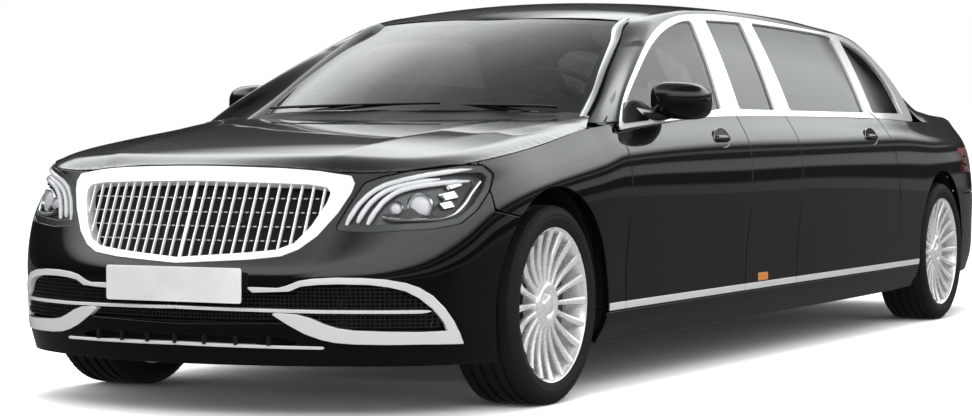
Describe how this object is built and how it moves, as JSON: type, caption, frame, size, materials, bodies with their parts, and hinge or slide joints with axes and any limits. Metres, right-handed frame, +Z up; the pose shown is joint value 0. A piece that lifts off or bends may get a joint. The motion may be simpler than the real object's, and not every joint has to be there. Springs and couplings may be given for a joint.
{
  "type": "stretch limousine",
  "caption": "Long black luxury saloon with a stretched wheelbase, hinged doors, hood and boot lid, steered front wheels and a furnished cabin.",
  "frame": {"origin": "on the ground under the middle of the car, centre of its box's bottom", "axes": "+Z up, the car faces -Y, its left side is +X"},
  "size_m": [2.114, 6.512, 1.4919],
  "materials": {
    "black_paint": "gloss clear coat",
    "bright_chrome": "polished",
    "clear_glass": "clear",
    "side_window_glass": "clear",
    "tinted_glass": "dark tint",
    "lamp_lens": "clear",
    "red_lens": "clear red",
    "amber_lens": "clear amber",
    "tyre_rubber": "matte",
    "wheel_silver": "painted and clear coated",
    "brake_iron": "machined",
    "black_plastic": "grained",
    "black_gloss_plastic": "gloss",
    "plate_white": "reflective sheet",
    "dash_leather": "fine grain",
    "beige_leather": "fine grain",
    "dark_leather": "fine grain",
    "inner_trim": "fine grain",
    "headliner": "knit",
    "carpet": "pile",
    "engine_metal": "cast",
    "chassis_steel": "coated",
    "exhaust_steel": "brushed",
    "underbody": "sealed"
  },
  "bodies": {
    "root": {"floor_pan": "underbody", "firewall": "underbody", "boot_floor": "underbody", "front_frame": "underbody", "cabin_frame": "inner_trim", "roof_panel": "black_paint", "windscreen": "clear_glass", "rear_window": "tinted_glass", "side_glass": "tinted_glass", "front_fenders": "black_paint", "rear_quarters": "black_paint", "centre_panels": "black_paint", "rocker_covers": "black_paint", "front_bumper": "black_paint", "rear_bumper": "black_paint", "radiator_grille": "bright_chrome", "headlamps": "lamp_lens", "tail_lamps": "red_lens", "rear_deck": "black_paint", "cowl_panel": "black_plastic", "number_plates": "plate_white", "dashboard": "dash_leather", "front_seats": "beige_leather", "rear_seats": "dark_leather", "engine_block": "engine_metal", "front_axle": "chassis_steel", "rear_axle": "chassis_steel", "exhaust": "exhaust_steel", "wheel_liners": "black_plastic"},
    "front_left_door": {"front_left_door": "black_paint", "front_left_door_glass": "side_window_glass", "left_mirror": "black_gloss_plastic"},
    "rear_left_door": {"rear_left_door": "black_paint", "rear_left_door_glass": "tinted_glass"},
    "front_left_knuckle": {"front_left_knuckle": "chassis_steel"},
    "front_left_wheel": {"front_left_tyre": "tyre_rubber", "front_left_rim": "wheel_silver"},
    "rear_left_wheel": {"rear_left_tyre": "tyre_rubber", "rear_left_rim": "wheel_silver"},
    "front_right_door": {"front_right_door": "black_paint", "front_right_door_glass": "side_window_glass", "right_mirror": "black_gloss_plastic"},
    "rear_right_door": {"rear_right_door": "black_paint", "rear_right_door_glass": "tinted_glass"},
    "front_right_knuckle": {"front_right_knuckle": "chassis_steel"},
    "front_right_wheel": {"front_right_tyre": "tyre_rubber", "front_right_rim": "wheel_silver"},
    "rear_right_wheel": {"rear_right_tyre": "tyre_rubber", "rear_right_rim": "wheel_silver"},
    "hood": {"hood": "black_paint"},
    "boot_lid": {"boot_lid": "black_paint"},
    "steering_wheel": {"steering_wheel": "dark_leather"}
  },
  "joints": [
    {"name": "front_left_door_hinge", "type": "hinge", "parent": "root", "child": "front_left_door", "pos_m": [0.95, -1.788, 0.6], "axis": [0, 0, -1], "range_deg": [0, 65]},
    {"name": "rear_left_door_hinge", "type": "hinge", "parent": "root", "child": "rear_left_door", "pos_m": [0.95, -0.038, 0.6], "axis": [0, 0, -1], "range_deg": [0, 65]},
    {"name": "front_left_steer", "type": "hinge", "parent": "root", "child": "front_left_knuckle", "pos_m": [0.735, -2.345, 0.34], "axis": [0, 0, 1], "range_deg": [-33, 33]},
    {"name": "front_left_wheel_spin", "type": "hinge", "parent": "front_left_knuckle", "child": "front_left_wheel", "pos_m": [0.814, -2.345, 0.34], "axis": [1, 0, 0], "continuous": true},
    {"name": "rear_left_wheel_spin", "type": "hinge", "parent": "root", "child": "rear_left_wheel", "pos_m": [0.814, 2.073, 0.34], "axis": [1, 0, 0], "continuous": true},
    {"name": "front_right_door_hinge", "type": "hinge", "parent": "root", "child": "front_right_door", "pos_m": [-0.95, -1.788, 0.6], "axis": [0, 0, 1], "range_deg": [0, 65]},
    {"name": "rear_right_door_hinge", "type": "hinge", "parent": "root", "child": "rear_right_door", "pos_m": [-0.95, -0.038, 0.6], "axis": [0, 0, 1], "range_deg": [0, 65]},
    {"name": "front_right_steer", "type": "hinge", "parent": "root", "child": "front_right_knuckle", "pos_m": [-0.735, -2.345, 0.34], "axis": [0, 0, 1], "range_deg": [-33, 33]},
    {"name": "front_right_wheel_spin", "type": "hinge", "parent": "front_right_knuckle", "child": "front_right_wheel", "pos_m": [-0.814, -2.345, 0.34], "axis": [1, 0, 0], "continuous": true},
    {"name": "rear_right_wheel_spin", "type": "hinge", "parent": "root", "child": "rear_right_wheel", "pos_m": [-0.814, 2.073, 0.34], "axis": [1, 0, 0], "continuous": true},
    {"name": "hood_hinge", "type": "hinge", "parent": "root", "child": "hood", "pos_m": [0, -1.69, 0.985], "axis": [-1, 0, 0], "range_deg": [0, 50]},
    {"name": "boot_lid_hinge", "type": "hinge", "parent": "root", "child": "boot_lid", "pos_m": [0, 2.408, 1.05], "axis": [1, 0, 0], "range_deg": [0, 75]},
    {"name": "steering_wheel_turn", "type": "hinge", "parent": "root", "child": "steering_wheel", "pos_m": [0.385, -1.17, 0.89], "axis": [0, 0.9272, 0.3746], "range_deg": [-450, 450]}
  ],
  "couplings": [
    {"joint": "front_right_steer", "follows": "front_left_steer", "ratio": 1},
    {"joint": "steering_wheel_turn", "follows": "front_left_steer", "ratio": 13.6}
  ]
}
